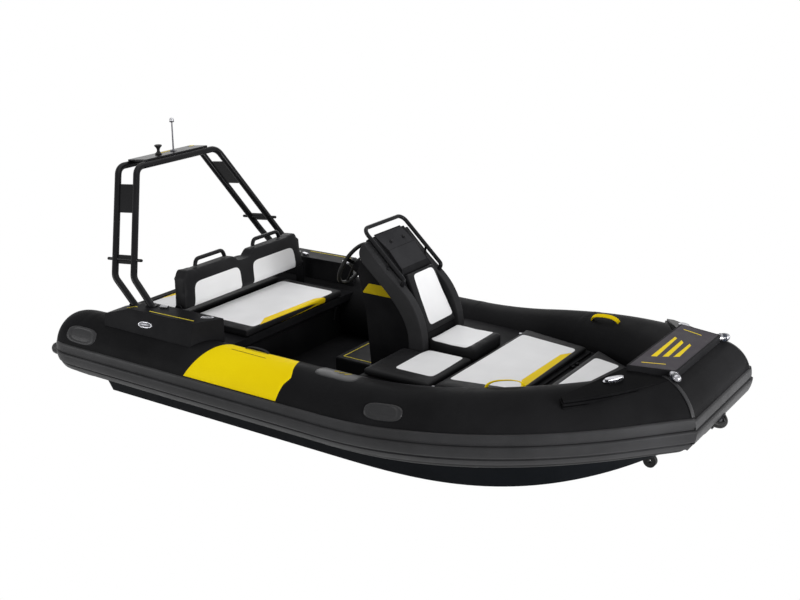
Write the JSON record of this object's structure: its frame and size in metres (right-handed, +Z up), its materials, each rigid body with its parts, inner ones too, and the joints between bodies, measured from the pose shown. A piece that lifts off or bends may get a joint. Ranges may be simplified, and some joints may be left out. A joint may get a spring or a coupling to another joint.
{
  "type": "rigid inflatable boat",
  "caption": "Small open rigid inflatable boat: deep-vee hull, inflated collar, bench with fold-down backrest, roll bar, side console with wheel, cushioned foredeck with a locker, bow step.",
  "frame": {"origin": "on the centre plane at the waterline, amidships, between the middles of the two side chambers' level length", "axes": "+X towards the bow, +Y to port, +Z up; Z = 0 is the surface of the water the boat floats in"},
  "size_m": [4.5636, 2.2048, 2.167],
  "materials": {
    "black_gelcoat": "black moulded laminate",
    "black_plastic": "black plastic",
    "black_tube": "black powder coat",
    "collar_skin": "satin black coated fabric",
    "deck_paint": "black paint on aluminium",
    "hull_paint": "black paint on aluminium",
    "seat_vinyl": "black vinyl with white panels",
    "stainless": "polished stainless steel",
    "step_pad": "grey non-slip pad with yellow stripes",
    "strake_rubber": "dull dark grey rubber",
    "wheel_grip": "black soft grip",
    "yellow_panel": "smooth yellow coated fabric",
    "yellow_webbing": "yellow webbing"
  },
  "bodies": {
    "boat": {"arch_front_hoop": "black_tube", "arch_leg_plates": "black_tube", "arch_rear_hoop": "black_tube", "arch_top_plate": "black_tube", "backrest_brackets": "black_tube", "bench_base": "black_gelcoat", "bench_cushion_aft": "seat_vinyl", "bench_cushion_front": "seat_vinyl", "bow_cushion_forward": "seat_vinyl", "bow_cushion_seat": "seat_vinyl", "bow_cushion_side": "seat_vinyl", "bow_fittings": "stainless", "bow_step": "black_gelcoat", "bow_step_pad": "step_pad", "bow_wedges": "strake_rubber", "console_body": "black_gelcoat", "console_front_cushion": "seat_vinyl", "console_handrail": "black_tube", "console_plinth": "black_gelcoat", "console_wing_port": "black_gelcoat", "console_wing_starboard": "black_gelcoat", "deck_floor": "deck_paint", "foredeck": "black_gelcoat", "grab_handles": "yellow_webbing", "helm_boss": "black_plastic", "horn": "black_plastic", "hull": "hull_paint", "light_mast": "stainless", "quarter_box_port": "black_gelcoat", "quarter_box_starboard": "black_gelcoat", "rub_strake_bow": "strake_rubber", "rub_strake_port": "strake_rubber", "rub_strake_starboard": "strake_rubber", "side_panels": "yellow_panel", "tow_eye": "stainless", "transom_board": "hull_paint", "tube_bow": "collar_skin", "tube_end_cones": "collar_skin", "tube_port": "collar_skin", "tube_starboard": "collar_skin"},
    "backrest": {"backrest": "seat_vinyl", "backrest_handles": "black_tube"},
    "bow_locker_lid": {"bow_locker_lid": "black_gelcoat", "bow_cushion_centre": "seat_vinyl"},
    "steering_wheel": {"steering_wheel": "wheel_grip"}
  },
  "joints": [
    {"name": "steering", "type": "hinge", "parent": "boat", "child": "steering_wheel", "pos_m": [-0.47, 0.12, 1.04], "axis": [-0.9063, 0, 0.4226], "range_deg": [-540, 540]},
    {"name": "backrest_fold", "type": "hinge", "parent": "boat", "child": "backrest", "pos_m": [-1.4, 0, 0.75], "axis": [0, 1, 0], "range_deg": [0, 95]},
    {"name": "bow_locker_hinge", "type": "hinge", "parent": "boat", "child": "bow_locker_lid", "pos_m": [1.165, 0, 0.596], "axis": [0, 1, 0], "range_deg": [0, 85]}
  ]
}
